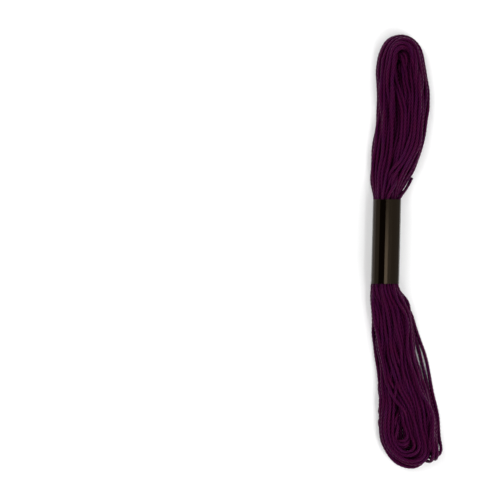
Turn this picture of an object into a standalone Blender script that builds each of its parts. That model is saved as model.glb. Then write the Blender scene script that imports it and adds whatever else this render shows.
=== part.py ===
"""A skein of six-strand embroidery floss, held at its waist by a plain sleeve.

The floss is wound in long loops and drawn through the sleeve, so each half opens into a
flat lobe of bundles. The solid of the hank is the union of those bundles: an arch with an
open eye in the upper lobe, and a U-turn, a crossing bundle and a small side loop in the
lower one. The skein lies on its back on the surface Z = 0 with its length along Y.
"""

import math
from dataclasses import dataclass

import bpy
from mathutils import Vector

# Driving dimensions, in millimetres. X is across the skein, Y along it, Z up.
MM = 0.001
SKEIN_LENGTH = 160.0
SKEIN_WIDTH = 25.8
FLOSS_DIAMETER = 1.2
PIECE_GAP = 0.3

SLEEVE_WIDTH = 10.3
SLEEVE_THICKNESS = 8.6
SLEEVE_WALL = 1.0
SLEEVE_TOP_Y = 18.8
SLEEVE_FOOT_Y = -12.2
SLEEVE_TOP_X = -7.1
SLEEVE_FOOT_X = -7.7
SLEEVE_MIDDLE_Z = 4.15

NECK_WIDTH = SLEEVE_WIDTH - 2.0 * (SLEEVE_WALL + PIECE_GAP)
NECK_THICKNESS = SLEEVE_THICKNESS - 2.0 * (SLEEVE_WALL + PIECE_GAP)
NECK_REACH = 4.0

# How the bundles are drawn: sides of a section, distance between sections, roundness.
BUNDLE_SIDES = 20
SLEEVE_SIDES = 40
RING_SPACING = 2.7
SECTION_POWER = 2.5
FLUTE_DEPTH = 0.35
BUNDLE_SINK = 0.3
ROUND_END_RINGS = 3

FLOSS_COLOUR = (0.031, 0.005, 0.021, 1.0)
SLEEVE_COLOUR = (0.012, 0.010, 0.008, 1.0)


@dataclass(frozen=True)
class Station:
    """One place on a bundle's middle line, with the bundle's section there."""

    x: float
    y: float
    z: float
    width: float
    thick: float


# The upper lobe: one bundle goes up the right, over the arch and down the left.
ARCH = (
    Station(-3.1, 22.6, 4.0, 5.0, 6.6),
    Station(0.1, 30.0, 4.2, 6.0, 6.8),
    Station(3.1, 38.0, 4.1, 6.0, 6.8),
    Station(4.6, 46.0, 3.9, 6.0, 7.0),
    Station(5.1, 55.0, 3.8, 6.0, 7.2),
    Station(4.5, 65.0, 3.8, 5.6, 7.4),
    Station(2.8, 73.4, 3.8, 4.8, 7.6),
    Station(-1.0, 77.8, 3.8, 4.4, 7.6),
    Station(-4.9, 74.2, 3.7, 4.6, 7.4),
    Station(-6.3, 67.0, 3.5, 5.2, 7.0),
    Station(-6.7, 57.0, 3.4, 5.4, 6.8),
    Station(-7.5, 46.0, 3.4, 5.4, 6.6),
    Station(-8.8, 36.0, 3.6, 5.4, 6.8),
    Station(-9.3, 25.0, 3.8, 5.4, 6.8),
)

# Strands that turn back early and fill the upper lobe, lower than the arch's right leg.
INNER_FAN = (
    Station(-4.4, 73.0, 2.6, 3.8, 4.6),
    Station(-3.7, 65.5, 2.7, 5.4, 5.4),
    Station(-2.5, 57.0, 2.8, 6.6, 5.8),
    Station(-1.9, 48.0, 2.9, 6.8, 5.8),
    Station(-2.6, 38.0, 3.0, 7.4, 6.0),
    Station(-4.2, 26.0, 3.4, 7.6, 6.6),
)

# The lower lobe: the main bundle sweeps right, turns at the foot and passes back below.
MAIN_TURN = (
    Station(-5.2, -16.0, 3.9, 7.6, 7.0),
    Station(-3.4, -24.0, 3.9, 8.6, 6.8),
    Station(-0.5, -33.0, 3.7, 8.6, 6.6),
    Station(2.0, -43.0, 3.6, 8.6, 6.4),
    Station(4.0, -53.0, 3.5, 8.2, 6.4),
    Station(4.9, -62.0, 3.4, 7.4, 6.4),
    Station(4.5, -70.0, 3.4, 6.4, 6.6),
    Station(0.9, -77.4, 3.4, 5.6, 6.6),
    Station(-3.9, -74.8, 3.2, 5.0, 6.2),
    Station(-5.5, -67.5, 2.9, 4.8, 5.6),
    Station(-5.2, -58.0, 2.5, 5.0, 4.8),
    Station(-4.8, -48.0, 2.5, 6.4, 4.8),
    Station(-6.0, -36.0, 2.9, 7.4, 5.6),
    Station(-7.6, -25.0, 3.4, 7.4, 6.2),
)

# The bundle on top, from the left edge over the returning leg and into the main turn.
CROSSING = (
    Station(-9.8, -16.5, 4.0, 5.2, 6.6),
    Station(-9.4, -26.0, 4.2, 5.4, 6.6),
    Station(-8.0, -35.0, 4.5, 5.4, 6.2),
    Station(-6.1, -43.0, 4.8, 5.4, 5.4),
    Station(-3.3, -50.0, 5.0, 5.2, 4.8),
    Station(-0.1, -56.5, 4.7, 5.0, 4.6),
    Station(2.6, -63.0, 4.1, 4.6, 4.6),
    Station(3.6, -69.0, 3.6, 3.6, 4.4),
)

# Upright strands seen inside the lower turn, close to the surface below.
FOOT_EYE = (
    Station(-3.0, -50.0, 1.9, 5.0, 3.8),
    Station(-2.2, -62.0, 1.8, 6.2, 3.8),
    Station(-1.6, -74.0, 1.7, 5.6, 3.8),
)

# The small bundle at the right of the foot, which ends in a loop of its own.
SIDE_LOOP = (
    Station(3.4, -41.0, 3.2, 4.0, 4.4),
    Station(6.6, -49.0, 3.2, 4.4, 5.0),
    Station(9.2, -56.5, 3.1, 4.6, 5.4),
    Station(10.5, -64.0, 3.0, 4.8, 5.6),
    Station(10.4, -70.5, 3.0, 4.4, 5.6),
    Station(9.3, -75.3, 2.9, 3.8, 5.2),
)

# A pair of strands that stands clear of the lower lobe's right edge.
STRAY_PAIR = (
    Station(1.6, -26.0, 3.4, 1.8, 2.4),
    Station(4.4, -32.8, 3.4, 1.6, 2.4),
    Station(6.8, -38.6, 3.3, 1.5, 2.4),
    Station(8.2, -45.0, 3.2, 1.5, 2.4),
    Station(9.3, -52.0, 3.1, 1.7, 2.6),
    Station(10.4, -59.0, 3.0, 2.2, 3.0),
)

# The hank swells to its full section right outside the sleeve's two mouths.
UPPER_SHOULDER = (
    Station(SLEEVE_TOP_X, SLEEVE_TOP_Y + PIECE_GAP, 4.1, 9.6, 7.8),
    Station(SLEEVE_TOP_X + 0.1, SLEEVE_TOP_Y + 1.7, 4.1, 10.4, 8.1),
    Station(-6.2, 24.5, 3.9, 11.0, 7.6),
    Station(-5.2, 30.0, 3.3, 10.0, 6.2),
    Station(-4.4, 35.0, 2.6, 8.0, 4.4),
)
LOWER_SHOULDER = (
    Station(SLEEVE_FOOT_X, SLEEVE_FOOT_Y - PIECE_GAP, 4.1, 9.8, 7.8),
    Station(SLEEVE_FOOT_X - 0.1, SLEEVE_FOOT_Y - 1.7, 4.1, 10.4, 8.1),
    Station(-6.8, -17.5, 3.9, 11.6, 7.6),
    Station(-5.6, -23.0, 3.3, 11.0, 6.2),
    Station(-4.6, -29.0, 2.6, 9.0, 4.4),
)

# The loose end, cut short beside the sleeve's upper mouth: its middle line.
LOOSE_END = (
    (-0.95, 19.9, 3.0),
    (0.55, 22.1, 2.9),
    (2.05, 24.4, 2.8),
    (3.35, 26.6, 2.6),
)


def curve_point(values, index, share):
    """A point on the smooth curve through a list of vectors, between two neighbours."""
    last = len(values) - 1
    before = values[max(index - 1, 0)]
    start = values[index]
    end = values[index + 1]
    after = values[min(index + 2, last)]
    leave = (end - before) * 0.5
    arrive = (after - start) * 0.5
    cubic = start * 2.0 - end * 2.0 + leave + arrive
    square = end * 3.0 - start * 3.0 - leave * 2.0 - arrive
    return ((cubic * share + square) * share + leave) * share + start


def smooth_stations(stations):
    """The bundle's middle line and its sections, evenly spaced along a smooth curve.

    The limp floss settles on the surface, so each bundle sinks and is later cut flat.
    """
    places = [Vector((s.x, s.y, s.z - BUNDLE_SINK)) for s in stations]
    sections = [Vector((s.width, s.thick)) for s in stations]
    rings = []
    for index in range(len(stations) - 1):
        span = (places[index + 1] - places[index]).length
        steps = max(2, round(span / RING_SPACING))
        for step in range(steps):
            share = step / steps
            place = curve_point(places, index, share)
            rings.append((place, curve_point(sections, index, share)))
    rings.append((places[-1], sections[-1]))
    return rings


def round_end(rings):
    """Rings that carry the last section on and shrink it to a round end."""
    (before, _), (place, section) = rings[-2:]
    forward = (place - before).normalized()
    reach = 0.5 * section.x
    added = []
    for step in range(1, ROUND_END_RINGS + 1):
        angle = 0.5 * math.pi * step / (ROUND_END_RINGS + 0.5)
        added.append((place + forward * reach * math.sin(angle), section * math.cos(angle)))
    return rings + added


def signed_power(value, power):
    """A power of the value that keeps its sign."""
    return math.copysign(abs(value) ** power, value)


def section_ring(place, forward, section, sides, flute):
    """The points of one rounded section, level across and square to the middle line.

    Every second point of the upper side is drawn in by the flute's depth, which leaves
    ridges like the thread's turns along the bundle. The underside stays smooth.
    """
    across = Vector((forward.y, -forward.x, 0.0)).normalized()
    upward = across.cross(forward).normalized()
    points = []
    for side in range(sides):
        angle = math.tau * (side + 0.5) / sides
        drawn_in = flute if side % 2 and math.sin(angle) > 0.0 else 0.0
        half = section * 0.5 - Vector((drawn_in, drawn_in))
        out = half.x * signed_power(math.cos(angle), 2.0 / SECTION_POWER)
        lift = half.y * signed_power(math.sin(angle), 2.0 / SECTION_POWER)
        points.append((place + across * out + upward * lift) * MM)
    return points


def swept_mesh(name, rings, sides, flute=0.0, first_forward=None):
    """One closed mesh of sections joined in turn, with a flat cap at each end.

    The first section may be turned to face another way than the middle line does.
    """
    points = []
    for index, (place, section) in enumerate(rings):
        before = rings[max(index - 1, 0)][0]
        after = rings[min(index + 1, len(rings) - 1)][0]
        forward = (after - before).normalized()
        if index == 0 and first_forward:
            forward = first_forward
        points += section_ring(place, forward, section, sides, flute)
    faces = [tuple(range(sides))]
    for ring in range(len(rings) - 1):
        for side in range(sides):
            a = ring * sides + side
            b = ring * sides + (side + 1) % sides
            faces.append((b, a, a + sides, b + sides))
    foot = (len(rings) - 1) * sides
    faces.append(tuple(foot + side for side in reversed(range(sides))))
    mesh = bpy.data.meshes.new(name)
    mesh.from_pydata(points, [], faces)
    mesh.shade_smooth()
    return mesh


def add_object(name, data):
    """An object of this data, linked to the scene."""
    item = bpy.data.objects.new(name, data)
    bpy.context.scene.collection.objects.link(item)
    return item


def as_tool(item):
    """Marks an object as one that only shapes others."""
    item.hide_render = True
    item.display_type = "WIRE"
    return item


def bundle(name, stations, rounded=False):
    """A bundle of strands as one swept body, used to build up the hank."""
    rings = smooth_stations(stations)
    if rounded:
        rings = round_end(rings)
    return as_tool(add_object(name, swept_mesh(name, rings, BUNDLE_SIDES, FLUTE_DEPTH)))


def shoulder(name, stations, forward):
    """The swelling of the hank outside one mouth, which starts level with the mouth."""
    rings = smooth_stations(stations)
    mesh = swept_mesh(name, rings, SLEEVE_SIDES, first_forward=forward)
    return as_tool(add_object(name, mesh))


def sleeve_ends():
    """The middles of the sleeve's lower and upper mouths."""
    foot = Vector((SLEEVE_FOOT_X, SLEEVE_FOOT_Y, SLEEVE_MIDDLE_Z))
    top = Vector((SLEEVE_TOP_X, SLEEVE_TOP_Y, SLEEVE_MIDDLE_Z))
    return foot, top


def sleeve_line(width, thick, reach):
    """A straight run of equal sections along the sleeve, past its mouths by a reach."""
    foot, top = sleeve_ends()
    past = (top - foot).normalized() * reach
    section = Vector((width, thick))
    return [(foot - past, section), (top + past, section)]


def ground_tool():
    """The block below the surface, which cuts every piece flat where it lies."""
    depth = 10.0
    bpy.ops.mesh.primitive_cube_add(size=1.0, location=(0.0, 0.0, -0.5 * depth * MM))
    block = bpy.context.object
    block.name = "ground_tool"
    block.scale = (2.0 * SKEIN_WIDTH * MM, 1.2 * SKEIN_LENGTH * MM, depth * MM)
    return as_tool(block)


def add_boolean(item, tool, operation):
    """Combines an item with a tool by an exact Boolean that stays as a modifier."""
    step = item.modifiers.new(f"{operation.lower()}_{tool.name}", "BOOLEAN")
    step.operation = operation
    step.solver = "EXACT"
    step.use_self = True
    step.object = tool


def material(name, colour, roughness, sheen=0.0):
    """A Principled material."""
    made = bpy.data.materials.new(name)
    made.use_nodes = True
    shader = made.node_tree.nodes["Principled BSDF"]
    shader.inputs["Base Color"].default_value = colour
    shader.inputs["Roughness"].default_value = roughness
    shader.inputs["Metallic"].default_value = 0.0
    shader.inputs["Sheen Weight"].default_value = sheen
    return made


def build_hank(ground):
    """The wound floss: the neck in the sleeve, joined with the bundles of both lobes."""
    neck = swept_mesh("hank", sleeve_line(NECK_WIDTH, NECK_THICKNESS, NECK_REACH), SLEEVE_SIDES)
    hank = add_object("hank", neck)
    foot, top = sleeve_ends()
    upward = (top - foot).normalized()
    bundles = (
        shoulder("upper_shoulder", UPPER_SHOULDER, upward),
        shoulder("lower_shoulder", LOWER_SHOULDER, -upward),
        bundle("arch", ARCH),
        bundle("inner_fan", INNER_FAN),
        bundle("main_turn", MAIN_TURN),
        bundle("crossing", CROSSING),
        bundle("foot_eye", FOOT_EYE),
        bundle("side_loop", SIDE_LOOP, rounded=True),
        bundle("stray_pair", STRAY_PAIR),
    )
    for part in bundles:
        add_boolean(hank, part, "UNION")
    add_boolean(hank, ground, "DIFFERENCE")
    hank.data.materials.append(material("floss", FLOSS_COLOUR, 0.6, sheen=0.3))


def build_sleeve(ground):
    """The sleeve that holds the waist: an open oval tube with a flat spot below."""
    outer = sleeve_line(SLEEVE_WIDTH, SLEEVE_THICKNESS, 0.0)
    inner_width = SLEEVE_WIDTH - 2.0 * SLEEVE_WALL
    inner_thick = SLEEVE_THICKNESS - 2.0 * SLEEVE_WALL
    inner = sleeve_line(inner_width, inner_thick, 1.0)
    sleeve = add_object("sleeve", swept_mesh("sleeve", outer, SLEEVE_SIDES))
    hollow = as_tool(add_object("sleeve_hollow", swept_mesh("sleeve_hollow", inner, SLEEVE_SIDES)))
    add_boolean(sleeve, hollow, "DIFFERENCE")
    add_boolean(sleeve, ground, "DIFFERENCE")
    sleeve.data.materials.append(material("sleeve_paper", SLEEVE_COLOUR, 0.25))


def build_loose_end():
    """The cut end of the floss, a short thick thread beside the sleeve's mouth."""
    curve = bpy.data.curves.new("loose_end", "CURVE")
    curve.dimensions = "3D"
    curve.bevel_depth = 0.5 * FLOSS_DIAMETER * MM
    curve.bevel_resolution = 2
    curve.use_fill_caps = True
    line = curve.splines.new("POLY")
    line.points.add(len(LOOSE_END) - 1)
    for point, place in zip(line.points, LOOSE_END):
        point.co = (*(value * MM for value in place), 1.0)
    curve.materials.append(material("loose_floss", FLOSS_COLOUR, 0.6, sheen=0.3))
    add_object("loose_end", curve)


def main():
    """Builds the skein in an empty scene."""
    for item in list(bpy.data.objects):
        bpy.data.objects.remove(item, do_unlink=True)
    ground = ground_tool()
    build_hank(ground)
    build_sleeve(ground)
    build_loose_end()


main()
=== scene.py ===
"""Looks of a skein of six-strand embroidery floss with a plain sleeve round its waist.

The whole thread is modelled at its real length: 25 long loops, settled against each other
and the surface, then drawn as six plies laid round each other. All of the winding is worked
out in millimetres, in the frame of the CAD part, and turned to metres for the meshes.
"""

import logging  # noqa: E402
import math  # noqa: E402
from dataclasses import dataclass, field  # noqa: E402
from enum import Enum  # noqa: E402

import bpy  # noqa: E402
import numpy as np  # noqa: E402
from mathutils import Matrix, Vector  # noqa: E402


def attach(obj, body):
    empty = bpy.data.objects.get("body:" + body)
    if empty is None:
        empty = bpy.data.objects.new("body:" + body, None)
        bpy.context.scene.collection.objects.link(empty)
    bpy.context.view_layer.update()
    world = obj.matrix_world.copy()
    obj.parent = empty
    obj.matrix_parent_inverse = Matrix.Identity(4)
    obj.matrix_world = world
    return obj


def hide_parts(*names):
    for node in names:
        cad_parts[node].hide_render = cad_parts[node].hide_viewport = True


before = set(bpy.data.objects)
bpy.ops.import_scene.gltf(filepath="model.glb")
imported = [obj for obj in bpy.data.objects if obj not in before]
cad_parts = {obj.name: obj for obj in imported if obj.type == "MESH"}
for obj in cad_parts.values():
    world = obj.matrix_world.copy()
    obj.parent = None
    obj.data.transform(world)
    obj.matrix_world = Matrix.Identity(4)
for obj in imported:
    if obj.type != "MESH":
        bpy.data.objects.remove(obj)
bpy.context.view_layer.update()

MM = 0.001
TINY = 1e-9  # keeps a division from meeting zero
CURVE_STEPS = 12  # steps between two given points, before a curve is divided evenly
LOG = logging.getLogger("skein")


# ----------------------------------------------------------------- the winding's routes


@dataclass(frozen=True)
class Station:
    """A place on a bundle's middle line and its half width and half height there (mm).

    The stagger moves the upper strands on along the skein and the lower ones back, so
    that the loops of a bundle don't all turn in the same place.
    """

    x: float
    y: float
    z: float
    half_width: float = 0.0
    half_height: float = 0.0
    stagger: float = 0.0


def stations(*rows: tuple[float, ...]) -> tuple[Station, ...]:
    """Turns rows of sizes into stations."""
    return tuple(Station(*row) for row in rows)


class Bundle(Enum):
    """The bundles of strands, each as its stations from mouth to mouth."""

    # Upper lobe: up the right leg, over the arch, down the left column.
    ARCH = stations(
        (-3.1, 26.0, 4.2, 2.4, 2.8), (1.0, 32.0, 4.3, 2.6, 2.5), (3.9, 39.0, 4.4, 2.4, 2.4),
        (4.5, 46.5, 4.4, 2.0, 2.4), (5.1, 54.0, 4.3, 1.8, 2.5), (5.0, 62.0, 4.2, 1.8, 2.6),
        (4.1, 69.0, 4.1, 1.8, 2.8), (2.8, 75.0, 4.1, 1.9, 2.9), (-1.2, 77.8, 4.2, 1.6, 2.9),
        (-4.6, 74.9, 4.0, 1.3, 2.8), (-6.4, 69.5, 3.7, 1.5, 2.6), (-7.2, 61.0, 3.5, 1.9, 2.5),
        (-7.3, 51.0, 3.4, 2.3, 2.4), (-8.1, 41.0, 3.5, 2.6, 2.4), (-9.0, 32.0, 3.7, 2.4, 2.6),
        (-9.5, 25.5, 4.0, 2.0, 2.9),
    )

    # Upper lobe: strands that turn below the arch and fan out to the right from under it.
    FAN = stations(
        (-4.0, 26.0, 3.0, 1.6, 1.8), (-1.4, 33.0, 2.6, 1.6, 1.4), (1.2, 41.0, 2.5, 1.7, 1.0),
        (2.9, 49.5, 2.4, 1.7, 0.8), (2.8, 56.5, 2.3, 1.7, 0.7), (1.7, 62.5, 2.2, 1.7, 0.7),
        (-0.1, 68.5, 2.0, 1.6, 0.7), (-2.0, 73.6, 1.7, 1.5, 0.7), (-3.9, 75.4, 1.5, 1.3, 0.7),
        (-5.6, 72.4, 1.5, 1.1, 0.7), (-6.0, 67.6, 1.9, 1.3, 0.9), (-5.3, 62.5, 3.0, 1.7, 1.3),
        (-3.3, 57.0, 3.8, 2.1, 1.6), (-2.3, 51.0, 3.9, 2.5, 1.8), (-2.2, 45.0, 3.8, 2.6, 1.9),
        (-3.1, 38.5, 3.5, 2.6, 2.0), (-4.8, 32.0, 3.5, 2.4, 2.3), (-6.6, 25.0, 3.9, 2.3, 2.8),
    )

    # Upper lobe: a few short loops on the surface, dark at the bottom of the eye.
    EYE_FLOOR = stations(
        (-5.0, 26.0, 2.0, 1.2, 0.6), (-2.4, 34.0, 1.3, 1.2, 0.3), (0.8, 42.0, 1.0, 1.2, 0.2),
        (2.8, 50.0, 0.9, 1.2, 0.2), (3.6, 58.0, 0.8, 1.2, 0.2), (3.6, 65.5, 0.8, 1.2, 0.2),
        (2.5, 70.9, 0.8, 1.2, 0.2), (-0.1, 73.4, 0.8, 1.2, 0.2), (-2.4, 71.4, 1.0, 1.2, 0.2),
        (-2.2, 67.0, 1.4, 1.2, 0.2), (-1.0, 61.5, 1.9, 1.2, 0.3), (-0.1, 55.0, 2.0, 1.2, 0.4),
        (-0.4, 48.0, 1.8, 1.2, 0.4), (-1.8, 40.5, 1.5, 1.3, 0.5), (-4.2, 32.5, 1.6, 1.5, 0.7),
        (-6.4, 25.5, 2.4, 1.6, 1.2),
    )

    # Lower lobe: the wide layer that sweeps right, the turn at the foot, the way back below.
    MAIN_TURN = stations(
        (-6.6, -18.5, 5.7, 4.6, 1.6), (-5.5, -25.0, 5.4, 5.4, 1.5), (-4.1, -33.0, 5.2, 5.6, 1.4),
        (-2.9, -41.0, 5.1, 5.6, 1.4), (-0.6, -49.0, 5.0, 5.6, 1.5), (2.7, -55.5, 4.8, 4.5, 2.0),
        (4.6, -62.0, 4.4, 3.3, 2.4), (5.3, -69.0, 4.1, 3.1, 2.6), (6.5, -74.7, 3.9, 2.8, 2.7),
        (2.3, -77.2, 3.8, 2.6, 2.8), (-2.6, -75.7, 3.5, 2.0, 2.6), (-5.5, -72.2, 3.3, 1.5, 2.4),
        (-6.7, -66.5, 3.0, 1.2, 2.2), (-6.9, -59.5, 2.7, 1.3, 2.0), (-6.5, -52.0, 2.3, 1.9, 1.6),
        (-5.9, -43.0, 2.1, 3.2, 1.4), (-5.9, -33.0, 2.1, 4.4, 1.4), (-6.6, -24.0, 2.5, 4.7, 1.6),
    )

    # Lower lobe: short loops that show upright in the eye of the turn.
    FOOT_EYE = stations(
        (-6.8, -18.5, 4.4, 4.0, 1.0), (-5.6, -26.0, 4.0, 3.6, 0.8), (-4.0, -36.0, 3.6, 3.0, 0.8),
        (-2.0, -46.0, 3.2, 2.2, 0.7), (-0.4, -55.0, 2.8, 1.5, 0.5), (0.4, -62.0, 2.6, 1.2, 0.3),
        (0.6, -68.0, 2.4, 1.2, 0.3), (0.2, -71.6, 2.2, 0.9, 0.3), (-1.7, -72.7, 1.9, 0.7, 0.3),
        (-3.6, -71.4, 1.5, 0.8, 0.3), (-4.1, -68.0, 1.2, 0.9, 0.3), (-3.8, -62.0, 1.1, 1.0, 0.3),
        (-3.4, -54.0, 1.2, 1.3, 0.4), (-3.6, -44.0, 1.4, 2.4, 0.6), (-5.0, -34.0, 1.6, 3.4, 0.8),
        (-6.6, -24.0, 2.1, 4.2, 1.0),
    )

    # Lower lobe: loops on the surface below the main leg, dark at the bottom of the eye.
    FOOT_FLOOR = stations(
        (-4.8, -18.5, 3.0, 2.0, 0.6), (-2.6, -27.0, 2.4, 1.6, 0.4), (-0.6, -37.0, 1.8, 1.4, 0.3),
        (1.2, -47.0, 1.2, 1.2, 0.2), (2.6, -56.0, 1.0, 1.2, 0.2), (3.5, -63.0, 0.9, 1.2, 0.2),
        (3.8, -69.0, 0.9, 1.2, 0.2), (3.1, -72.6, 0.9, 1.2, 0.2), (0.8, -74.3, 0.9, 1.1, 0.2),
        (-1.5, -72.6, 0.9, 1.2, 0.2), (-2.0, -69.0, 0.9, 1.2, 0.2), (-1.6, -62.0, 0.9, 1.2, 0.2),
        (-0.8, -54.0, 0.9, 1.2, 0.2), (-1.8, -45.0, 1.0, 1.2, 0.2), (-3.4, -35.0, 1.2, 1.6, 0.3),
        (-5.6, -25.0, 1.8, 2.0, 0.5),
    )

    # Lower lobe: the small bundle at the right, down and back within itself.
    SIDE_LOOP = stations(
        (-1.9, -17.5, 5.0, 1.8, 2.2), (0.9, -22.0, 4.9, 1.7, 2.0), (1.6, -27.0, 4.8, 1.5, 1.9),
        (2.0, -34.0, 4.6, 1.2, 1.9), (2.7, -41.0, 4.5, 1.1, 1.8), (4.7, -48.0, 4.4, 1.1, 1.7),
        (7.9, -56.0, 4.7, 1.3, 1.4), (10.2, -63.5, 4.9, 1.2, 1.2, 0.4),
        (10.3, -69.6, 4.7, 1.0, 1.4, 1.0), (10.0, -73.3, 4.6, 0.8, 1.2, 1.6),
        (9.6, -75.4, 4.1, 0.6, 1.0, 1.8), (9.0, -76.5, 3.0, 0.5, 0.9, 1.8),
        (8.1, -75.7, 1.9, 0.4, 0.7, 1.8), (7.9, -73.6, 1.2, 0.8, 0.6, 1.6),
        (8.4, -67.0, 1.1, 1.2, 0.5, 0.5), (6.9, -58.0, 1.4, 1.2, 0.6), (3.6, -47.0, 1.5, 1.2, 0.8),
        (0.6, -37.0, 1.7, 1.7, 1.0), (-1.8, -26.5, 2.3, 2.2, 1.4),
    )

    # Lower lobe: two strands that stand clear of the right edge before they join the loop.
    STRAY_OUTER = stations(
        (-2.1, -17.5, 4.6), (1.9, -22.0, 3.9), (3.0, -26.5, 2.6), (4.3, -30.6, 1.5),
        (6.0, -34.9, 0.9), (7.2, -38.0, 0.7), (8.3, -43.4, 0.7), (9.5, -49.9, 0.7),
        (10.1, -54.8, 0.7), (12.0, -60.5, 1.0), (12.4, -66.0, 1.7), (11.5, -72.6, 3.2),
    )
    STRAY_INNER = stations(
        (-2.9, -17.5, 3.4), (0.4, -23.0, 2.6), (2.4, -28.5, 1.6), (4.1, -33.4, 0.8),
        (5.1, -37.2, 0.7), (6.1, -40.9, 0.7), (7.4, -46.0, 0.7), (8.4, -50.4, 0.7),
        (9.6, -55.0, 0.9), (11.0, -60.8, 1.6), (11.4, -67.0, 2.6), (10.9, -72.0, 3.8),
    )


# ------------------------------------------------------------------------ the winding


@dataclass(frozen=True)
class Waist:
    """The strands packed inside the sleeve and the sleeve's folded outline (mm).

    The corners are the soft creases of the paper, given from its lapped end below, over
    the left side and the top, to its covered end below. Slots are sought in as many rows
    and columns each way as the reach.
    """

    top_x: float = -6.9
    top_y: float = 18.8
    foot_x: float = -7.65
    foot_y: float = -12.2
    middle_z: float = 4.25
    pitch: float = 1.12
    row_height: float = 0.97
    strands: int = 50
    reach: int = 8
    corners: tuple[tuple[float, float], ...] = (
        (1.3, -4.24), (-1.6, -4.24), (-3.5, -3.7), (-4.7, -2.5), (-5.15, -1.0), (-5.15, 0.9),
        (-4.85, 2.0), (-4.1, 3.1), (-2.9, 3.97), (-0.8, 4.2), (0.5, 3.96), (2.0, 3.6), (3.5, 3.1),
        (4.7, 2.2), (5.15, 0.9), (5.15, -1.0), (4.7, -2.5), (3.5, -3.6), (1.8, -4.04),
        (-1.0, -4.06),
    )

    def middle(self, y: float) -> tuple[float, float]:
        """Returns the oval's middle (x, z) at a place along the skein."""
        share = (y - self.foot_y) / (self.top_y - self.foot_y)
        return self.foot_x + share * (self.top_x - self.foot_x), self.middle_z

    def depth(self, spots: np.ndarray) -> np.ndarray:
        """How far each place lies inside the sleeve's outline.

        Args:
            spots: (n, 2) offsets from the oval's middle.

        Returns:
            (n,) depths, negative outside.
        """
        corners = np.array(self.corners[1:-1])
        following = np.roll(corners, -1, axis=0)
        edge = following - corners
        inward = np.stack([edge[:, 1], -edge[:, 0]], axis=1)
        inward /= np.linalg.norm(inward, axis=1)[:, None]
        return (((spots[:, None] - corners[None]) * inward[None]).sum(axis=2)).min(axis=1)

    def slots(self) -> np.ndarray:
        """Packs the strands in rows, each in the hollows of the row below.

        Returns:
            (strands, 2) offsets from the oval's middle, across and up.
        """
        places = []
        for row in range(-self.reach, self.reach + 1):
            shift = 0.25 + 0.5 * (row % 2)
            for column in range(-self.reach, self.reach + 1):
                places.append(((column + shift) * self.pitch, (row + 0.5) * self.row_height))
        spots = np.array(places)
        return spots[np.argsort(-self.depth(spots), kind="stable")[: self.strands]]


def smooth_curve(points: np.ndarray, spacing: float) -> np.ndarray:
    """Draws a smooth curve through points and divides it evenly.

    Args:
        points: (n, 3) places that the curve passes through.
        spacing: the wanted distance between the returned points.

    Returns:
        (m, 3) points along the curve, ends included.
    """
    step = np.diff(points, axis=0)
    chord = np.linalg.norm(step, axis=1)[:, None]
    slope = step / chord
    velocity = np.vstack([slope[:1], np.zeros_like(slope[1:]), slope[-1:]])
    velocity[1:-1] = (slope[:-1] * chord[1:] + slope[1:] * chord[:-1]) / (chord[1:] + chord[:-1])
    leave, arrive = velocity[:-1] * chord, velocity[1:] * chord
    share = np.linspace(0.0, 1.0, CURVE_STEPS + 1)[:-1][None, :, None]
    cubic = (leave + arrive - 2 * step)[:, None]
    square = (3 * step - 2 * leave - arrive)[:, None]
    dense = ((cubic * share + square) * share + leave[:, None]) * share + points[:-1][:, None]
    dense = np.vstack([dense.reshape(-1, 3), points[-1:]])
    return divided_evenly(dense, spacing)


def divided_evenly(line: np.ndarray, spacing: float) -> np.ndarray:
    """Divides a polyline into equal steps close to a spacing.

    Args:
        line: (n, 3) points.
        spacing: the wanted step.

    Returns:
        The points of the equal steps.
    """
    along = np.concatenate([[0.0], np.cumsum(np.linalg.norm(np.diff(line, axis=0), axis=1))])
    steps = max(2, round(along[-1] / spacing))
    at = np.linspace(0.0, along[-1], steps + 1)
    return np.stack([np.interp(at, along, line[:, k]) for k in range(3)], axis=1)


def eased(line: np.ndarray, times: int) -> np.ndarray:
    """Rounds a line off by averaging neighbours, ends held.

    Args:
        line: (n, k) values along a line.
        times: how often they are averaged.

    Returns:
        The eased values.
    """
    for _ in range(times):
        middle = 0.5 * line[1:-1] + 0.25 * (line[:-2] + line[2:])
        line = np.vstack([line[:1], middle, line[-1:]])
    return line


def soft_step(share: np.ndarray) -> np.ndarray:
    """Eases shares in and out, from 0 to 1."""
    share = np.clip(share, 0.0, 1.0)
    return share * share * (3.0 - 2.0 * share)


def to_unit(values: np.ndarray) -> np.ndarray:
    """Scales values about their middle so that they run from -1 to 1."""
    low, high = values.min(), values.max()
    return (values - 0.5 * (low + high)) / max(0.5 * (high - low), 1e-6)


@dataclass
class Turn:
    """One strand's way out of the waist, round a lobe and back in."""

    start: int
    end: int
    bundle: Bundle
    leave: tuple[float, float] = (0.0, 0.0)
    arrive: tuple[float, float] = (0.0, 0.0)


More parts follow.
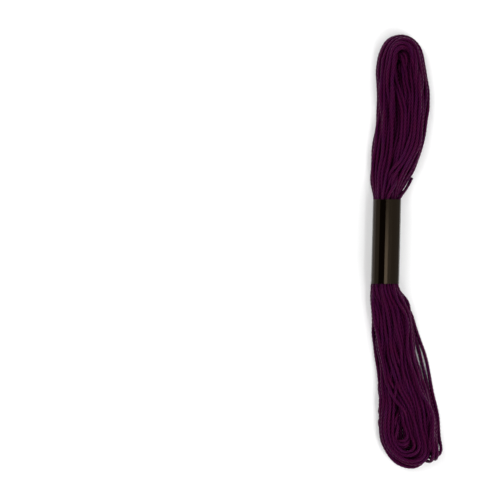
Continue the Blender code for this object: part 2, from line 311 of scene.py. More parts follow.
@dataclass
class Winding:
    """The guide of the whole thread: every turn of both lobes in one order.

    Strands of the waist are numbered by slot. A strand that leaves the waist on the right
    comes back on the left in the upper lobe, and one that leaves in the upper half of the
    waist comes back in its lower half in the lower lobe.
    """

    waist: Waist = field(default_factory=Waist)
    spacing: float = 1.0
    seed: int = 7
    # How many strands lie on the right, and which turns run inside the outer bundle,
    # counted from the outer edge inwards.
    right_strands: int = 26
    fan_from: int = 9
    low_fan_from: int = 5
    side_turns: int = 6
    eye_turns: tuple[int, ...] = (8, 12, 16, 18)
    floor_turns: tuple[int, ...] = (6, 10, 14)
    # The slow wander of a strand: its size across, its share up and along, its waves.
    wander: float = 0.55
    wander_up: float = 0.3
    wander_along: float = 0.4
    waves: tuple[float, ...] = (58.0, 31.0, 17.0)
    fade: float = 14.0
    # A strand leaves a mouth straight for a little way and bends softly.
    straight: float = 2.0
    easing: int = 10
    # The two strays follow their own stations before they join the side loop's.
    stray_joins: int = 10
    stray_wander: float = 0.15
    # How firmly the loose end, the strays and the side loop keep to their places.
    end_hold: float = 8.0
    stray_hold: float = 5.0
    side_hold: float = 2.0
    end_places: tuple[tuple[float, float, float], ...] = (
        (2.5, 26.9, 0.7),
        (1.7, 25.2, 1.1),
        (0.6, 23.3, 2.2),
        (-0.8, 21.3, 3.7),
        (-2.0, 19.9, 4.8),
    )

    def __post_init__(self) -> None:
        """Sorts the slots into quarters of the waist, each from its outer edge inwards."""
        self.spots = self.waist.slots()
        order = np.argsort(-self.spots[:, 0], kind="stable")
        right, left = order[: self.right_strands], order[self.right_strands :]
        self.right_top, self.right_low = self._halves(right, outward=1.0)
        self.left_top, self.left_low = self._halves(left, outward=-1.0)
        self.random = np.random.default_rng(self.seed)

    def _halves(self, slots: np.ndarray, outward: float) -> tuple[list, list]:
        """Splits slots into the upper and the lower ones, both from the outer edge in.

        Args:
            slots: the slots of one side.
            outward: 1 on the right, -1 on the left.

        Returns:
            The upper slots and the lower ones.
        """
        by_height = slots[np.argsort(-self.spots[slots, 1], kind="stable")]
        halves = []
        count = len(slots) // 2
        for part in (by_height[:count], by_height[count:]):
            inward = np.argsort(-outward * self.spots[part, 0], kind="stable")
            halves.append([int(slot) for slot in part[inward]])
        return halves[0], halves[1]

    def upper_turns(self) -> list[Turn]:
        """Pairs right slots with left ones, outer with outer, for the upper lobe.

        Returns:
            The turns of the upper lobe.
        """
        turns = []
        for k, slot in enumerate(self.left_top):
            bundle = Bundle.FAN if k >= self.fan_from else Bundle.ARCH
            turns.append(Turn(self.right_top[k + 1], slot, bundle))
        for k, slot in enumerate(self.left_low):
            bundle = Bundle.FAN if k >= self.low_fan_from else Bundle.ARCH
            bundle = Bundle.EYE_FLOOR if k >= self.fan_from else bundle
            turns.append(Turn(self.right_low[k], slot, bundle))
        return turns

    def lower_turns(self) -> list[Turn]:
        """Pairs upper slots with lower ones for the lower lobe.

        Returns:
            The turns of the lower lobe.
        """
        side = self.side_turns
        turns = []
        for start, end in zip(self.right_top[:side], self.right_low[:side]):
            turns.append(Turn(start, end, Bundle.SIDE_LOOP))
        outer_first = self.right_top[side:] + self.left_top[::-1]
        landing = self.left_low + self.right_low[side:][::-1]
        for k, (start, end) in enumerate(zip(outer_first, landing)):
            bundle = Bundle.FOOT_EYE if k in self.eye_turns else Bundle.MAIN_TURN
            bundle = Bundle.FOOT_FLOOR if k in self.floor_turns else bundle
            turns.append(Turn(start, end, bundle))
        return turns

    def spread(self, turns: list[Turn], start_sign: float) -> None:
        """Gives each strand its place in its bundle's section, kept from its slot.

        Args:
            turns: the turns of one lobe.
            start_sign: 1 where a bundle leaves the waist along +Y, -1 along -Y.
        """
        for bundle in dict.fromkeys(turn.bundle for turn in turns):
            group = [turn for turn in turns if turn.bundle is bundle]
            leave = self.spots[[turn.start for turn in group]]
            arrive = self.spots[[turn.end for turn in group]]
            columns = (
                start_sign * to_unit(leave[:, 0]),
                to_unit(leave[:, 1]),
                -start_sign * to_unit(arrive[:, 0]),
                to_unit(arrive[:, 1]),
            )
            for k, turn in enumerate(group):
                turn.leave = (float(columns[0][k]), float(columns[1][k]))
                turn.arrive = (float(columns[2][k]), float(columns[3][k]))

    def one_thread(self, upper: list[Turn], lower: list[Turn]) -> list[Turn]:
        """Splices the turns into one thread and returns them in its order.

        Where the turns close into several rings, two neighbouring upper turns swap their
        left ends, which joins two rings into one.

        Args:
            upper: the turns of the upper lobe.
            lower: the turns of the lower lobe.

        Returns:
            All turns, in the thread's order.
        """
        while True:
            path, seen = self._walk(upper, lower)
            if len(path) == len(upper) + len(lower):
                return path
            self._splice(upper, seen)

    def _walk(self, upper: list[Turn], lower: list[Turn]) -> tuple[list[Turn], set[int]]:
        """Follows the thread from its loose end as far as it goes.

        Args:
            upper: the turns of the upper lobe.
            lower: the turns of the lower lobe.

        Returns:
            The turns passed, and the slots on the way.
        """
        at_top = {slot: turn for turn in upper for slot in (turn.start, turn.end)}
        at_foot = {slot: turn for turn in lower for slot in (turn.start, turn.end)}
        slot, path, seen = self.right_top[0], [], {self.right_top[0]}
        tables = (at_foot, at_top)
        while slot in tables[len(path) % 2]:
            turn = tables[len(path) % 2][slot]
            slot = turn.end if turn.start == slot else turn.start
            path.append(turn)
            seen.add(slot)
        return path, seen

    def _splice(self, upper: list[Turn], seen: set[int]) -> None:
        """Joins the nearest ring that isn't on the thread yet.

        Args:
            upper: the turns of the upper lobe.
            seen: the slots on the thread.
        """
        best = None
        for a in (turn for turn in upper if turn.end in seen):
            for b in (turn for turn in upper if turn.end not in seen):
                apart = float(np.linalg.norm(self.spots[a.end] - self.spots[b.end]))
                if a.bundle is b.bundle and (best is None or apart < best[0]):
                    best = (apart, a, b)
        if best is None:
            raise ValueError("no two turns of one bundle join the rings of the winding")
        _, a, b = best
        a.end, b.end = b.end, a.end
        a.arrive, b.arrive = b.arrive, a.arrive

    def _mouth(self, slot: int, y: float) -> np.ndarray:
        """The place of a slot at a height along the skein."""
        x, z = self.waist.middle(y)
        return np.array([x + self.spots[slot, 0], y, z + self.spots[slot, 1]])

    def _turn_line(self, turn: Turn, mouth_y: float, strays: dict[int, Bundle]) -> np.ndarray:
        """One turn from mouth to mouth, evenly divided.

        Args:
            turn: the turn.
            mouth_y: the mouth that it leaves and comes back to.
            strays: the own stations of the strays, by slot.

        Returns:
            (n, 3) points from mouth to mouth.
        """
        outward = 1.0 if mouth_y > 0.0 else -1.0
        route = turn.bundle.value
        middle = np.array([(s.x, s.y, s.z) for s in route])
        half = np.array([(s.half_width, s.half_height) for s in route])
        forward = np.gradient(middle, axis=0)
        forward[:, 2] = 0.0
        forward /= np.linalg.norm(forward, axis=1)[:, None]
        across = np.stack([forward[:, 1], -forward[:, 0], np.zeros(len(forward))], axis=1)
        share = soft_step(np.linspace(0.0, 1.0, len(route)))
        place = np.outer(1.0 - share, turn.leave) + np.outer(share, turn.arrive)
        points = middle + across * (place[:, :1] * half[:, :1])
        points[:, 2] += place[:, 1] * half[:, 1]
        points[:, 1] += place[:, 1] * np.array([s.stagger for s in route]) * outward
        wander = 1.0
        if turn.start in strays:
            own = np.array([(s.x, s.y, s.z) for s in strays[turn.start].value])
            points = np.vstack([own, points[self.stray_joins :]])
            wander = self.stray_wander
        straight = mouth_y + self.straight * outward
        ends = [self._mouth(turn.start, mouth_y), self._mouth(turn.start, straight)]
        back = [self._mouth(turn.end, straight), self._mouth(turn.end, mouth_y)]
        line = smooth_curve(np.vstack([ends, points, back]), self.spacing)
        line = eased(line, self.easing)
        return line + wander * self._wandering(len(line))

    def _wandering(self, count: int) -> np.ndarray:
        """A slow sideways wander that fades out at the waist.

        Args:
            count: the number of points.

        Returns:
            (count, 3) offsets.
        """
        at = np.arange(count) * self.spacing
        fade = soft_step(np.minimum(at, at[::-1]) / self.fade)
        moved = np.zeros((count, 3))
        for axis, share in ((0, 1.0), (2, self.wander_up), (1, self.wander_along)):
            for wave in self.waves:
                phase = self.random.uniform(0.0, math.tau)
                size = share * self.wander * self.random.uniform(0.4, 1.0)
                height = size * (wave / self.waves[0]) ** 0.5
                moved[:, axis] += height * np.sin(math.tau * at / wave + phase)
        return moved * fade[:, None]

    def guide(self) -> tuple[np.ndarray, np.ndarray]:
        """Lays the guide of the whole thread, from the loose end to the hidden one.

        Returns:
            (n, 3) points and (n,) how firmly each is held to its place.
        """
        upper, lower = self.upper_turns(), self.lower_turns()
        self.spread(upper, 1.0)
        self.spread(lower, -1.0)
        order = self.one_thread(upper, lower)
        strays = dict(zip(self.right_top, (Bundle.STRAY_OUTER, Bundle.STRAY_INNER)))
        slot, pieces = self.right_top[0], [self.loose_end(self.right_top[0])]
        holds = [np.full(len(pieces[0]), self.end_hold)]
        for step, turn in enumerate(order):
            mouth_y = self.waist.foot_y if step % 2 == 0 else self.waist.top_y
            other_y = self.waist.top_y if step % 2 == 0 else self.waist.foot_y
            ends = np.stack([self._mouth(slot, other_y), self._mouth(slot, mouth_y)])
            pieces.append(divided_evenly(ends, self.spacing)[:-1])
            own = strays if step % 2 == 0 else {}
            line = self._turn_line(turn, mouth_y, own)
            forwards = turn.start == slot
            pieces.append((line if forwards else line[::-1])[:-1])
            firm = self.side_hold if turn.bundle is Bundle.SIDE_LOOP else 1.0
            firm = self.stray_hold if turn.start in own else firm
            holds += [np.ones(len(pieces[-2])), np.full(len(pieces[-1]), firm)]
            slot = turn.end if forwards else turn.start
        last = self.waist.foot_y if len(order) % 2 == 0 else self.waist.top_y
        first = self.waist.top_y if len(order) % 2 == 0 else self.waist.foot_y
        ends = np.stack([self._mouth(slot, first), self._mouth(slot, last)])
        pieces.append(divided_evenly(ends, self.spacing))
        holds.append(np.ones(len(pieces[-1])))
        return np.vstack(pieces), np.concatenate(holds)

    def loose_end(self, slot: int) -> np.ndarray:
        """The cut end that stands out beside the sleeve's upper mouth.

        Args:
            slot: the strand's slot.

        Returns:
            (n, 3) points from the cut end to the mouth.
        """
        points = np.vstack([self.end_places, self._mouth(slot, self.waist.top_y)])
        return smooth_curve(points, self.spacing)[:-1]


# ----------------------------------------------------------------------- the settling


@dataclass
class Settling:
    """Settles the thread: strands push each other apart, sag and lie on the surface.

    A move is shared out along the thread, so a strand bends in long soft curves.
    """

    waist: Waist
    tight: float = 1.06
    loose: float = 1.24
    opening: float = 18.0
    # Rounds of settling: the first keep near the guide, the last only set strands apart.
    rounds: int = 380
    late_from: float = 0.8
    last_rounds: int = 60
    recount: int = 8
    # How strongly a round acts.
    push: float = 1.4
    last_push: float = 1.3
    pull: float = 0.020
    late_pull: float = 0.25
    upright_pull: float = 0.4
    sag: float = 0.012
    own_shift: float = 0.6
    # How far round a strand its neighbours are looked for, and its own points left out.
    reach: float = 0.9
    skip: int = 4
    tightest_bend: float = 2.9
    bend_steps: tuple[int, ...] = (1, 2, 3, 4)
    bend_slack: float = 0.98
    bend_push: float = 0.2
    even_push: float = 0.25
    clear: float = 0.03

    def gap(self, y: np.ndarray) -> np.ndarray:
        """The distance between middle lines, tight in the sleeve and loose in the lobes."""
        out = np.maximum(y - self.waist.top_y, self.waist.foot_y - y)
        return self.tight + (self.loose - self.tight) * soft_step(out / self.opening)

    def neighbours(self, line: np.ndarray) -> tuple[np.ndarray, np.ndarray]:
        """Finds the pairs of a point and a segment's start that may touch.

        Args:
            line: (n, 3) points of the thread.

        Returns:
            The points' numbers and the segments' numbers.
        """
        far = self.loose + self.reach
        order = np.argsort(line[:, 1], kind="stable")
        bins = np.floor(line[order, 1] / far).astype(int)
        starts = np.searchsorted(bins, np.arange(bins[0], bins[-1] + 3))
        firsts, seconds = [], []
        for k in range(len(starts) - 1):
            own = order[starts[k] : starts[k + 1]]
            near = order[starts[max(k - 1, 0)] : starts[min(k + 2, len(starts) - 1)]]
            if not len(own):
                continue
            apart = line[own][:, None] - line[near][None]
            close = (apart * apart).sum(axis=2) < far * far
            a, b = np.nonzero(close)
            firsts.append(own[a])
            seconds.append(near[b])
        first, second = np.concatenate(firsts), np.concatenate(seconds)
        keep = (np.abs(first - second) > self.skip) & (second < len(line) - 1)
        return first[keep], second[keep]

    def push_apart(self, line: np.ndarray, pairs: tuple[np.ndarray, np.ndarray]) -> np.ndarray:
        """The moves that bring touching strands to their distance.

        Args:
            line: (n, 3) points of the thread.
            pairs: the numbers that neighbours gives.

        Returns:
            (n, 3) moves.
        """
        first, second = pairs
        start, end = line[second], line[second + 1]
        along = end - start
        offset = line[first] - start
        share = (offset * along).sum(axis=1) / np.maximum((along * along).sum(axis=1), TINY)
        share = np.clip(share, 0.0, 1.0)
        apart = offset - along * share[:, None]
        distance = np.sqrt((apart * apart).sum(axis=1)) + TINY
        want = self.gap(line[first, 1])
        short = np.maximum(want - distance, 0.0)
        hit = short > 0.0
        first, second, share = first[hit], second[hit], share[hit]
        push = apart[hit] * (0.5 * short[hit] / distance[hit])[:, None]
        moved = np.zeros_like(line)
        count = len(line)
        for axis in range(3):
            moved[:, axis] += np.bincount(first, push[:, axis], count)
            moved[:, axis] -= np.bincount(second, push[:, axis] * (1.0 - share), count)
            moved[:, axis] -= np.bincount(second + 1, push[:, axis] * share, count)
        hits = np.bincount(first, minlength=count) + np.bincount(second, 1.0 - share, count)
        hits += np.bincount(second + 1, share, count)
        return moved / np.maximum(hits, 1.0)[:, None]

    def opened_bends(self, line: np.ndarray) -> np.ndarray:
        """The moves that open bends tighter than the floss takes.

        Points a few steps apart are kept at least as far from each other as they are on
        the tightest circle allowed.

        Args:
            line: (n, 3) points of the thread.

        Returns:
            (n, 3) moves.
        """
        moved = np.zeros_like(line)
        for steps in self.bend_steps:
            least = 2.0 * self.tightest_bend * math.sin(min(steps / self.tightest_bend, 1.5))
            apart = line[2 * steps :] - line[: -2 * steps]
            size = np.sqrt((apart * apart).sum(axis=1)) + TINY
            short = np.maximum(self.bend_slack * least - size, 0.0)
            push = apart * (self.bend_push * short / size)[:, None]
            moved[2 * steps :] += push
            moved[: -2 * steps] -= push
        return moved

    def evened(self, line: np.ndarray) -> np.ndarray:
        """The moves along the thread that bring its points to equal steps.

        Args:
            line: (n, 3) points of the thread.

        Returns:
            (n, 3) moves.
        """
        step = np.diff(line, axis=0)
        size = np.sqrt((step * step).sum(axis=1))
        along = line[2:] - line[:-2]
        along /= np.sqrt((along * along).sum(axis=1))[:, None] + TINY
        moved = np.zeros_like(line)
        moved[1:-1] = along * (self.even_push * (size[1:] - size[:-1]))[:, None]
        return moved

    def settle(self, guide: np.ndarray, hold: np.ndarray) -> np.ndarray:
        """Settles the guide.

        Args:
            guide: (n, 3) points of the whole thread, mm.
            hold: (n,) how firmly each point is held to its place.

        Returns:
            The settled points.
        """
        line = guide.copy()
        out = np.maximum(guide[:, 1] - self.waist.top_y, self.waist.foot_y - guide[:, 1])
        free = np.clip((out + 1.0) / 3.0, 0.0, 1.0)[:, None]
        pull = self.pull * hold[:, None] * np.array([1.0, 1.0, self.upright_pull])
        pairs = self.neighbours(line)
        for turn in range(self.rounds):
            if turn % self.recount == self.recount - 1:
                pairs = self.neighbours(line)
            late = turn > self.late_from * self.rounds
            moved = self.push_apart(line, pairs) * self.push
            moved += (guide - line) * (self.late_pull * pull if late else pull)
            moved[:, 2] -= self.sag
            line = line + eased(moved, 1) * free
            line = line + (eased(self.opened_bends(line), 1) + self.evened(line)) * free
            shift = line - guide
            softened = (1.0 - self.own_shift) * eased(shift, 1 if late else 2)
            line = self.on_surface(guide + self.own_shift * shift + softened)
        line = eased(line, 2)
        for turn in range(self.last_rounds):
            if turn % self.recount == 0:
                pairs = self.neighbours(line)
            line = line + eased(self.last_push * self.push_apart(line, pairs), 5) * free
            line = line + eased(self.opened_bends(line), 2) * free + self.evened(line) * free
            line = self.on_surface(line)
        return eased(line, 2)

    def on_surface(self, line: np.ndarray) -> np.ndarray:
        """Keeps every point at least half a strand above the surface."""
        line[:, 2] = np.maximum(line[:, 2], 0.5 * self.gap(line[:, 1]) + self.clear)
        return line


# --------------------------------------------------------------------- colours, nodes


def linear(code: str, alpha: float = 1.0) -> tuple[float, float, float, float]:
    """Turns an sRGB hex code such as "4A1238" into linear values.

    Args:
        code: the hex code.
        alpha: the opacity.

    Returns:
        Red, green, blue and alpha.
    """
    values = []
    for k in (0, 2, 4):
        value = int(code[k : k + 2], 16) / 255.0
        values.append(value / 12.92 if value <= 0.04045 else ((value + 0.055) / 1.055) ** 2.4)
    return (values[0], values[1], values[2], alpha)


def add_node(
    tree: bpy.types.NodeTree,
    kind: str,
    settings: dict[str, object] | None = None,
    values: dict[str, object] | None = None,
    links: dict[str, bpy.types.NodeSocket] | None = None,
) -> bpy.types.Node:
    """Adds a node with its settings, socket values and incoming links.

    Args:
        tree: the node tree.
        kind: the node's type name.
        settings: properties of the node.
        values: default values by input name or index.
        links: outputs of other nodes by input name or index.

    Returns:
        The new node.
    """
    node = tree.nodes.new(kind)
    for name, value in (settings or {}).items():
        setattr(node, name, value)
    for name, value in (values or {}).items():
        node.inputs[name].default_value = value
    for name, source in (links or {}).items():
        tree.links.new(source, node.inputs[name])
    return node


def new_material(name: str) -> tuple[bpy.types.Material, bpy.types.NodeTree, bpy.types.Node]:
    """Makes an empty Principled material and returns it with its tree and shader.

    Args:
        name: the material's name.

    Returns:
        The material, its tree and its shader.
    """
    made = bpy.data.materials.new(name)
    made.use_nodes = True
    tree = made.node_tree
    return made, tree, tree.nodes["Principled BSDF"]


@dataclass(frozen=True)
class MercerisedCotton:
    """Mercerised cotton floss: dyed dark plum, with a faint satin glow along its plies.

    The glow is plum too, so the strands stay deep in colour under soft white light. The base
    colour also carries painted light: a painted highlight on the crests of the plies and
    painted shade in the grooves between them.
    """

    # Painted shade in the grooves between the plies, then the dye's own two tones.
    groove: str = "0A0005"
    cool: str = "210322"
    warm: str = "2C031A"
    # Painted highlight on the crests of the plies.
    crest: str = "54123F"
    glow: str = "B8489A"
    roughness: float = 0.38
    specular: float = 0.2
    # Streaks round the thread and along it per mm. Real fibres are 0.015 mm thick, too
    # fine to show, so a streak is drawn 0.15 mm wide and 1.1 mm long.
    fibres: tuple[float, float, float] = (26.0, 0.9, 1.0)
    # The dye takes a little differently every 9 mm or so.
    patches: tuple[float, float, float] = (0.0, 0.11, 1.0)
    fibre_relief: float = 0.00006

    def material(self) -> bpy.types.Material:
        """Builds the material.

        Returns:
            The material.
        """
        made, tree, shader = new_material("mercerised_cotton_plum")
        ply = add_node(tree, "ShaderNodeAttribute", {"attribute_name": "ply"})
        uv = add_node(tree, "ShaderNodeUVMap", {"uv_map": "thread"})
        fibres = self.noise(tree, uv, self.fibres, 3.0)
        patches = self.noise(tree, uv, self.patches, 2.0)
        hue = add_node(
            tree,
            "ShaderNodeMapRange",
            values={"From Min": 0.35, "From Max": 0.65},
            links={"Value": patches.outputs["Fac"]},
        )
        body = add_node(
            tree,
            "ShaderNodeMix",
            {"data_type": "RGBA"},
            {6: linear(self.cool), 7: linear(self.warm)},
            {0: hue.outputs[0]},
        )
        # The fibre streaks lift or lower the painted highlight and shade here and there.
        height = add_node(
            tree,
            "ShaderNodeMath",
            {"operation": "MULTIPLY_ADD"},
            {1: 0.6, 2: -0.3},
            {0: fibres.outputs["Fac"]},
        )
        crest = add_node(
            tree,
            "ShaderNodeMath",
            {"operation": "ADD", "use_clamp": True},
            links={0: ply.outputs["Fac"], 1: height.outputs[0]},
        )
        # Painted highlight on the crests of the plies, then painted shade in the grooves.
        lit = self.shade(tree, crest, (0.55, 1.0), body, linear(self.crest))
        dark = self.shade(tree, crest, (0.45, 0.0), lit, linear(self.groove))
        tree.links.new(dark.outputs[2], shader.inputs["Base Color"])
        bump = add_node(
            tree,
            "ShaderNodeBump",
            values={"Strength": 0.4, "Distance": self.fibre_relief},
            links={"Height": fibres.outputs["Fac"]},
        )
        tree.links.new(bump.outputs[0], shader.inputs["Normal"])
        shader.inputs["Roughness"].default_value = self.roughness
        shader.inputs["Specular IOR Level"].default_value = self.specular
        shader.inputs["Specular Tint"].default_value = linear(self.glow)
        return made

    def noise(
        self, tree: bpy.types.NodeTree, uv: bpy.types.Node, scale: tuple, detail: float
    ) -> bpy.types.Node:
        """Noise in the thread's own space: round it and along it in millimetres.

        Args:
            tree: the node tree.
            uv: the thread's UV map.
            scale: cells round the thread, along it per mm, and 1.
            detail: how fine the noise goes.

        Returns:
            The noise node.
        """
        space = add_node(
            tree, "ShaderNodeMapping", values={"Scale": scale}, links={0: uv.outputs[0]}
        )
        return add_node(
            tree,
            "ShaderNodeTexNoise",
            values={"Scale": 1.0, "Detail": detail, "Roughness": 0.6},
            links={"Vector": space.outputs[0]},
        )

    def shade(
        self,
        tree: bpy.types.NodeTree,
        height: bpy.types.Node,
        span: tuple[float, float],
        below: bpy.types.Node,
        colour: tuple,
    ) -> bpy.types.Node:
        """Turns a colour into another over a span of heights.

        Args:
            tree: the node tree.
            height: the height over the grooves.
            span: the heights between which the colour turns.
            below: the colour at the first height.
            colour: the colour at the second.

        Returns:
            The mixing node.
        """
        share = add_node(
            tree,
            "ShaderNodeMapRange",
            values={"From Min": span[0], "From Max": span[1]},
            links={"Value": height.outputs[0]},
        )
        return add_node(
            tree,
            "ShaderNodeMix",
            {"data_type": "RGBA"},
            {7: colour},
            {0: share.outputs[0], 6: below.outputs[2]},
        )


@dataclass(frozen=True)
class CoatedPaper:
    """Coated black paper: smooth, glossy and slightly warm where it catches the light."""

    colour: str = "040201"
    sheen: str = "FFE1BC"
    roughness: float = 0.14
    specular: float = 0.24
    # The coating is barely uneven, by 0.03 mm over about 1.4 mm.
    grain_per_metre: float = 700.0
    grain_relief: float = 0.00003

    def material(self) -> bpy.types.Material:
        """Builds the material.

        Returns:
            The material.
        """
        made, tree, shader = new_material("coated_black_paper")
        where = add_node(tree, "ShaderNodeTexCoord")
        grain = add_node(
            tree,
            "ShaderNodeTexNoise",
            values={"Scale": self.grain_per_metre, "Detail": 3.0},
            links={"Vector": where.outputs["Object"]},
        )
        bump = add_node(
            tree,
            "ShaderNodeBump",
            values={"Strength": 0.08, "Distance": self.grain_relief},
            links={"Height": grain.outputs["Fac"]},
        )
        tree.links.new(bump.outputs[0], shader.inputs["Normal"])
        shader.inputs["Base Color"].default_value = linear(self.colour)
        shader.inputs["Roughness"].default_value = self.roughness
        shader.inputs["Specular IOR Level"].default_value = self.specular
        shader.inputs["Specular Tint"].default_value = linear(self.sheen)
        return made


@dataclass(frozen=True)
class PaleBoard:
    """A pale, even studio board under the object."""

    colour: str = "F4F4F4"
    roughness: float = 0.9

    def material(self) -> bpy.types.Material:
        """Builds the material.

        Returns:
            The material.
        """
        made, _, shader = new_material("pale_board")
        shader.inputs["Base Color"].default_value = linear(self.colour)
        shader.inputs["Roughness"].default_value = self.roughness
        return made


# --------------------------------------------------------------------------- the pieces


@dataclass
class Floss:
    """The thread as six plies laid round each other, in a few long pieces.

    The plies go once round in a ply turn (mm). The groove between two plies is a share of
    the radius, and the swell is how far the soft crests press into a neighbour (mm).
    """

    line: np.ndarray
    settling: Settling
    # The finish paints a highlight on the ply crests and shade in the grooves.
    finish: MercerisedCotton = field(default_factory=MercerisedCotton)
    plies: int = 6
    sides_per_ply: int = 3
    ring_spacing: float = 0.6
    ply_turn: float = 9.0
    groove: float = 0.22
    swell: float = 0.03
    pieces: int = 5

    def rings(self) -> tuple[np.ndarray, np.ndarray, np.ndarray]:
        """Returns the fine middle line and an untwisted frame along it.

        Returns:
            The line's points, and two directions across it at each.
        """
        fine = smooth_curve(self.line, self.ring_spacing)
        tangent = np.gradient(fine, axis=0)
        tangent /= np.linalg.norm(tangent, axis=1)[:, None]
        normal = np.zeros_like(fine)
        current = np.cross(tangent[0], (0.0, 0.0, 1.0))
        current /= np.linalg.norm(current)
        for k, direction in enumerate(tangent):
            current = current - direction * (current @ direction)
            current /= np.linalg.norm(current)
            normal[k] = current
        return fine, normal, np.cross(tangent, normal)

    def build(self) -> list[bpy.types.Object]:
        """Builds the thread's pieces and dresses them.

        Returns:
            The pieces.
        """
        fine, normal, side = self.rings()
        material = self.finish.material()
        cuts = self.cuts(fine)
        made = []
        for index, (first, last) in enumerate(zip(cuts[:-1], cuts[1:])):
            part = slice(first, last + 1)
            item = self.tube(f"floss_{index + 1}", fine[part], normal[part], side[part], first)
            item.data.materials.append(material)
            made.append(item)
            LOG.info("%s: %d faces", item.name, len(item.data.polygons))
        LOG.info("thread length %.2f m", len(fine) * self.ring_spacing * MM)
        self.declare(made, cuts)
        return made

    def cuts(self, fine: np.ndarray) -> list[int]:
        """Where the thread is divided into pieces: always inside the sleeve.

        Args:
            fine: the fine middle line.

        Returns:
            The rings' numbers, ends included.
        """
        waist = self.settling.waist
        middle_y = 0.5 * (waist.top_y + waist.foot_y)
        crossing = np.nonzero(np.diff(np.sign(fine[:, 1] - middle_y)))[0]
        chosen = [0]
        for piece in range(1, self.pieces):
            wanted = piece * len(fine) / self.pieces
            chosen.append(int(crossing[np.argmin(np.abs(crossing - wanted))]))
        return [*chosen, len(fine) - 1]

    def tube(
        self, name: str, line: np.ndarray, normal: np.ndarray, side: np.ndarray, first: int
    ) -> bpy.types.Object:
        """Draws one piece of the thread as a closed tube with a ply-shaped section.

        Args:
            name: the piece's name.
            line: its middle line, mm.
            normal: a direction across the line at each ring.
            side: the other direction across it.
            first: the number of its first ring on the thread.

        Returns:
            The piece.
        """
        sides = self.plies * self.sides_per_ply
        round_angle = np.arange(sides) * math.tau / sides
        along = (first + np.arange(len(line))) * self.ring_spacing
        turned = round_angle[None, :] + (along * math.tau / self.ply_turn)[:, None]
        ply = 0.5 + 0.5 * np.cos(self.plies * round_angle)
        radius = 0.5 * self.settling.gap(line[:, 1]) + self.swell
        reach = radius[:, None] * (1.0 - self.groove * (1.0 - ply[None, :] ** 0.6))
        points = line[:, None] + reach[..., None] * (
            np.cos(turned)[..., None] * normal[:, None] + np.sin(turned)[..., None] * side[:, None]
        )
        count = len(line)
        ring = np.arange(count - 1)[:, None] * sides
        here = np.arange(sides)[None, :]
        there = (here + 1) % sides
        quads = np.stack([ring + here, ring + there, ring + sides + there, ring + sides + here], 2)
        faces = [tuple(quad) for quad in quads.reshape(-1, 4).tolist()]
        faces.append(tuple(range(sides - 1, -1, -1)))
        faces.append(tuple(range((count - 1) * sides, count * sides)))
        mesh = bpy.data.meshes.new(name)
        mesh.from_pydata((points.reshape(-1, 3) * MM).tolist(), [], faces)
        self.mark(mesh, np.tile(ply, count), along, sides)
        mesh.shade_smooth()
        item = bpy.data.objects.new(name, mesh)
        bpy.context.scene.collection.objects.link(item)
        return item

    def mark(self, mesh: bpy.types.Mesh, ply: np.ndarray, along: np.ndarray, sides: int) -> None:
        """Writes the ply attribute and a UV map: round the thread and along it in mm.

        Args:
            mesh: the piece's mesh.
            ply: each point's height over the grooves.
            along: each ring's place along the thread.
            sides: the points of a ring.
        """
        # The ply attribute marks where the highlight and the shade are painted.
        attribute = mesh.attributes.new("ply", "FLOAT", "POINT")
        attribute.data.foreach_set("value", ply.astype(np.float32))
        layer = mesh.uv_layers.new(name="thread")
        corners = np.empty(len(mesh.loops), dtype=np.int64)
        mesh.loops.foreach_get("vertex_index", corners)
        share = (corners % sides) / sides
        tube_corners = (len(along) - 1) * sides * 4
        quad = share[:tube_corners].reshape(-1, 4)
        wraps = (quad.max(axis=1) - quad.min(axis=1)) > 0.5
        quad[wraps] = np.where(quad[wraps] < 0.5, quad[wraps] + 1.0, quad[wraps])
        share[:tube_corners] = quad.reshape(-1)
        uv = np.stack([share, along[corners // sides]], axis=1)
        layer.data.foreach_set("uv", uv.reshape(-1).astype(np.float32))

    def declare(self, made: list[bpy.types.Object], cuts: list[int]) -> None:
        """Attaches each piece to the root body and hides the hank and the loose end of the CAD
        part.

        Args:
            made: the pieces.
            cuts: where it is divided.
        """
        for item, first, last in zip(made, cuts[:-1], cuts[1:]):
            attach(item, "root")
        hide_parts("hank", "loose_end")


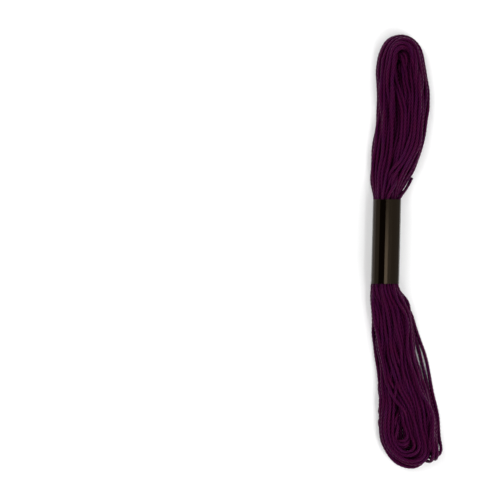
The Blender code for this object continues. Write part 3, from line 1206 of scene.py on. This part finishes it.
@dataclass
class Sleeve:
    """The paper sleeve: folded once round the waist, its ends lapped underneath (mm).

    Corners sharper than the least crease are rounded off, and faces that meet at less than
    the smooth angle are shaded as one (degrees).
    """

    waist: Waist
    wall: float = 0.15
    crease: float = 0.28
    least_crease: float = 3.0
    smooth_below: float = 50.0
    finish: CoatedPaper = field(default_factory=CoatedPaper)

    def build(self) -> bpy.types.Object:
        """Models the sleeve: a folded strip pulled along the waist, then thickened.

        Returns:
            The sleeve.
        """
        item = self.folded_strip()
        soften = item.modifiers.new("soften", "BEVEL")
        soften.width = self.crease * MM
        soften.segments = 3
        soften.limit_method = "ANGLE"
        soften.angle_limit = math.radians(self.least_crease)
        bpy.ops.object.modifier_apply(modifier=soften.name)
        thicken = item.modifiers.new("thicken", "SOLIDIFY")
        thicken.thickness = self.wall * MM
        thicken.offset = -1.0
        bpy.ops.object.modifier_apply(modifier=thicken.name)
        bpy.ops.object.shade_smooth_by_angle(angle=math.radians(self.smooth_below))
        flatten = item.modifiers.new("flatten", "WEIGHTED_NORMAL")
        flatten.keep_sharp = True
        flatten.weight = 100
        bpy.ops.object.modifier_apply(modifier=flatten.name)
        item.data.materials.append(self.finish.material())
        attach(item, "root")
        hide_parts("sleeve")
        LOG.info("%s: %d faces", item.name, len(item.data.polygons))
        return item

    def folded_strip(self) -> bpy.types.Object:
        """Draws the line of corners as one edge chain and extrudes it along the waist.

        Returns:
            The strip, without thickness.
        """
        x, z = self.waist.middle(self.waist.foot_y)
        points = [(x + across, self.waist.foot_y, z + up) for across, up in self.waist.corners]
        bpy.ops.object.select_all(action="DESELECT")
        bpy.ops.mesh.primitive_plane_add(size=MM)
        item = bpy.context.object
        item.name = "paper_sleeve"
        bpy.ops.object.mode_set(mode="EDIT")
        bpy.ops.mesh.select_all(action="SELECT")
        bpy.ops.mesh.merge(type="CENTER")
        bpy.ops.transform.translate(value=[MM * value for value in points[0]])
        for start, end in zip(points[:-1], points[1:]):
            step = [MM * (b - a) for a, b in zip(start, end)]
            bpy.ops.mesh.extrude_region_move(TRANSFORM_OT_translate={"value": step})
        bpy.ops.mesh.select_all(action="SELECT")
        length = self.waist.top_y - self.waist.foot_y
        lean = self.waist.top_x - self.waist.foot_x
        along = [MM * lean, MM * length, 0.0]
        bpy.ops.mesh.extrude_region_move(TRANSFORM_OT_translate={"value": along})
        bpy.ops.mesh.select_all(action="SELECT")
        bpy.ops.mesh.normals_make_consistent(inside=False)
        bpy.ops.object.mode_set(mode="OBJECT")
        return item


class Aim(Enum):
    """How a soft box is turned to the skein."""

    ACROSS = "tilted across the skein only"
    FULL = "turned fully to the skein"


@dataclass(frozen=True)
class SoftBox:
    """A rectangular area light: its place and size in metres and its power in watts."""

    name: str
    place: tuple[float, float, float]
    size: tuple[float, float]
    power: float
    aim: Aim = Aim.FULL

    def build(self) -> None:
        """Adds the light to the scene."""
        data = bpy.data.lights.new(self.name, "AREA")
        data.shape = "RECTANGLE"
        data.size, data.size_y = self.size
        data.energy = self.power
        item = bpy.data.objects.new(self.name, data)
        item.location = self.place
        if self.aim is Aim.ACROSS:
            item.rotation_euler = (0.0, math.atan2(self.place[0], self.place[2]), 0.0)
        else:
            item.rotation_euler = (-Vector(self.place)).to_track_quat("-Z", "Y").to_euler()
        bpy.context.scene.collection.objects.link(item)


@dataclass
class Studio:
    """The pale board, the soft lights and the camera above (metres).

    The glow fades between two shares of the way up, from its strength at the sides to its
    strength straight above. The frame width is measured at the framed height.
    """

    board_size: float = 3.0
    soft_boxes: tuple[SoftBox, ...] = (
        SoftBox("strip", (0.255, -0.445, 0.60), (0.085, 0.9), 1.25, Aim.ACROSS),
        SoftBox("key", (0.50, -0.50, 0.45), (0.5, 0.5), 4.5),
        SoftBox("fill", (-0.50, 0.50, 0.50), (0.6, 0.6), 4.5),
    )
    glow_fades: tuple[float, float] = (0.88, 0.96)
    glow_strength: tuple[float, float] = (0.8, 0.03)
    camera_height: float = 0.9
    frame_width: float = 0.1839
    camera_x: float = -0.0574
    camera_y: float = 0.0002
    sensor: float = 36.0
    framed_height: float = 0.006

    def build(self) -> None:
        """Builds the studio."""
        self.board()
        self.glow()
        for box in self.soft_boxes:
            box.build()
        self.camera()

    def board(self) -> None:
        """The pale board that the skein lies on."""
        bpy.ops.object.select_all(action="DESELECT")
        bpy.ops.mesh.primitive_plane_add(size=self.board_size)
        item = bpy.context.object
        item.name = "board"
        item.data.materials.append(PaleBoard().material())

    def glow(self) -> None:
        """An even glow from all round that fades out straight above."""
        world = bpy.data.worlds.new("glow")
        world.use_nodes = True
        tree = world.node_tree
        background = tree.nodes["Background"]
        background.inputs["Color"].default_value = (1.0, 1.0, 1.0, 1.0)
        where = add_node(tree, "ShaderNodeTexCoord")
        split = add_node(tree, "ShaderNodeSeparateXYZ", links={0: where.outputs["Generated"]})
        limits = {
            "From Min": self.glow_fades[0],
            "From Max": self.glow_fades[1],
            "To Min": self.glow_strength[0],
            "To Max": self.glow_strength[1],
        }
        above = add_node(
            tree,
            "ShaderNodeMapRange",
            {"interpolation_type": "SMOOTHSTEP"},
            limits,
            {"Value": split.outputs["Z"]},
        )
        tree.links.new(above.outputs[0], background.inputs["Strength"])
        bpy.context.scene.world = world

    def camera(self) -> None:
        """The camera straight above."""
        data = bpy.data.cameras.new("camera")
        data.sensor_width = self.sensor
        distance = self.camera_height - self.framed_height
        data.lens = data.sensor_width * distance / self.frame_width
        item = bpy.data.objects.new("camera", data)
        item.location = (self.camera_x, self.camera_y, self.camera_height)
        bpy.context.scene.collection.objects.link(item)
        bpy.context.scene.camera = item


def main() -> None:
    """Builds the skein and its studio."""
    logging.basicConfig(level=logging.INFO, format="%(name)s: %(message)s")
    bpy.context.scene.view_settings.view_transform = "Standard"
    waist = Waist()
    guide, hold = Winding(waist).guide()
    settling = Settling(waist)
    line = settling.settle(guide, hold)
    Floss(line, settling).build()
    Sleeve(waist).build()
    Studio().build()


if __name__ == "__main__":
    main()
